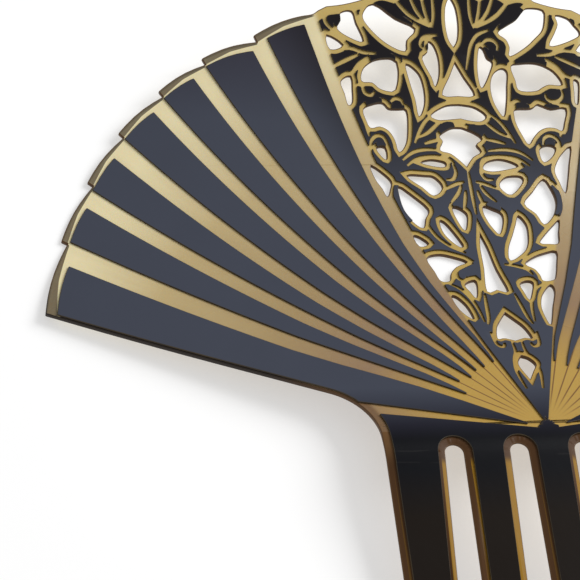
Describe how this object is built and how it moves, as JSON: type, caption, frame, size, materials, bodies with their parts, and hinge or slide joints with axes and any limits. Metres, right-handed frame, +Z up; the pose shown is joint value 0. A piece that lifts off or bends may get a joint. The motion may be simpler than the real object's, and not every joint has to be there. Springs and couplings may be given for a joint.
{
  "type": "peineta back comb",
  "caption": "Fan-shaped back comb for the hair: clear amber sheet with straight teeth, and a black facing carved into blades and pierced scrollwork.",
  "frame": {"origin": "on the table, below the centre of the comb's outline as it lies on its back", "axes": "+X across the comb to its right wing, +Y from the teeth to the heading, +Z up, out of the black face"},
  "size_m": [0.2128, 0.1967, 0.013],
  "materials": {
    "amber": "polished clear amber celluloid, 1 mm",
    "black": "polished black celluloid facing, 0.4 mm, carved through"
  },
  "bodies": {
    "root": {"amber_ply": "amber", "base_facing": "black", "scroll_facing": "black", "blade_left_1": "black", "blade_left_2": "black", "blade_left_3": "black", "blade_left_4": "black", "blade_left_5": "black", "blade_left_6": "black", "blade_left_7": "black", "blade_right_1": "black", "blade_right_2": "black", "blade_right_3": "black", "blade_right_4": "black", "blade_right_5": "black", "blade_right_6": "black", "blade_right_7": "black"}
  },
  "joints": []
}
